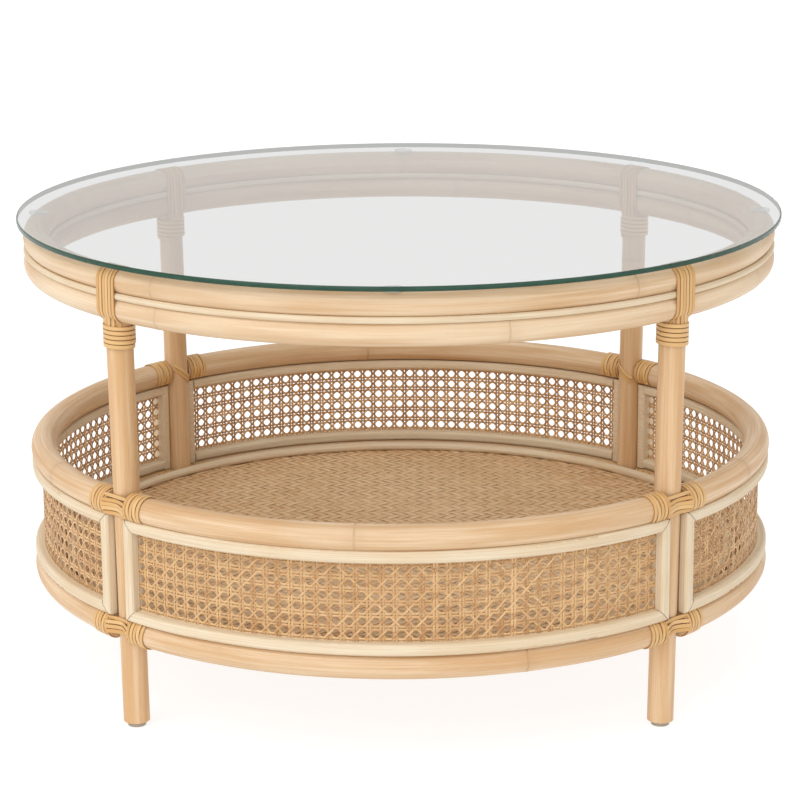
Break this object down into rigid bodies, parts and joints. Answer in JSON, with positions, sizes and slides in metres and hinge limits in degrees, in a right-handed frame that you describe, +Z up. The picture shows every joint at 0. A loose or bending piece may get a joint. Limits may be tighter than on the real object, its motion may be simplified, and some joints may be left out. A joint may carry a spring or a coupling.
{
  "type": "round coffee table",
  "caption": "Round rattan-pole coffee table with a loose glass top on twin hoops and a low basket shelf with cane webbing sides and a woven floor.",
  "frame": {"origin": "on the floor, under the middle of the glass", "axes": "+Z up, -Y the front, legs on the diagonals"},
  "size_m": [0.7999, 0.8, 0.48],
  "materials": {
    "rattan_pole": "peeled and sanded rattan, clear satin lacquer",
    "rattan_core": "pale cream rattan core, satin",
    "rattan_peel": "glossy split rattan peel",
    "cane_webbing": "machine-woven natural cane",
    "woven_mat": "twill-woven flat rattan strips",
    "plywood": "plain plywood",
    "batten_wood": "planed softwood",
    "glass": "clear tempered float glass with a polished edge",
    "clear_pad": "clear soft plastic",
    "glide_plastic": "grey translucent plastic",
    "steel": "zinc-plated steel"
  },
  "bodies": {
    "frame": {"basket_floor_rail_back": "rattan_pole", "basket_floor_rail_front": "rattan_pole", "basket_floor_rail_left": "rattan_pole", "basket_floor_rail_right": "rattan_pole", "basket_top_rail_back": "rattan_pole", "basket_top_rail_front": "rattan_pole", "basket_top_rail_left": "rattan_pole", "basket_top_rail_right": "rattan_pole", "board_screws": "steel", "cane_panel_back": "cane_webbing", "cane_panel_front": "cane_webbing", "cane_panel_left": "cane_webbing", "cane_panel_right": "cane_webbing", "crossbar_screws": "steel", "floor_rail_binding_back_left": "rattan_peel", "floor_rail_binding_back_right": "rattan_peel", "floor_rail_binding_front_left": "rattan_peel", "floor_rail_binding_front_right": "rattan_peel", "foot_glide_back_left": "glide_plastic", "foot_glide_back_right": "glide_plastic", "foot_glide_front_left": "glide_plastic", "foot_glide_front_right": "glide_plastic", "glass_pad_back": "clear_pad", "glass_pad_front": "clear_pad", "glass_pad_left": "clear_pad", "glass_pad_right": "clear_pad", "glide_nails": "steel", "groove_cane_inner": "rattan_core", "groove_cane_outer": "rattan_core", "hoop_binding_back_left": "rattan_peel", "hoop_binding_back_right": "rattan_peel", "hoop_binding_front_left": "rattan_peel", "hoop_binding_front_right": "rattan_peel", "hoop_screws": "steel", "inner_frame_back": "rattan_core", "inner_frame_front": "rattan_core", "inner_frame_left": "rattan_core", "inner_frame_right": "rattan_core", "leg_back_left": "rattan_pole", "leg_back_right": "rattan_pole", "leg_front_left": "rattan_pole", "leg_front_right": "rattan_pole", "leg_top_screws": "steel", "outer_frame_back": "rattan_core", "outer_frame_front": "rattan_core", "outer_frame_left": "rattan_core", "outer_frame_right": "rattan_core", "rail_screws": "steel", "shelf_bead": "rattan_core", "shelf_board": "plywood", "shelf_crossbar_lower": "batten_wood", "shelf_crossbar_upper": "batten_wood", "shelf_mat": "woven_mat", "top_hoop_lower": "rattan_pole", "top_hoop_upper": "rattan_pole", "top_rail_binding_back_left": "rattan_peel", "top_rail_binding_back_right": "rattan_peel", "top_rail_binding_front_left": "rattan_peel", "top_rail_binding_front_right": "rattan_peel"},
    "glass": {"glass_top": "glass"}
  },
  "joints": [
    {"name": "glass_lift", "type": "slide", "parent": "frame", "child": "glass", "axis": [0, 0, 1], "range_m": [0, 0.12]}
  ]
}
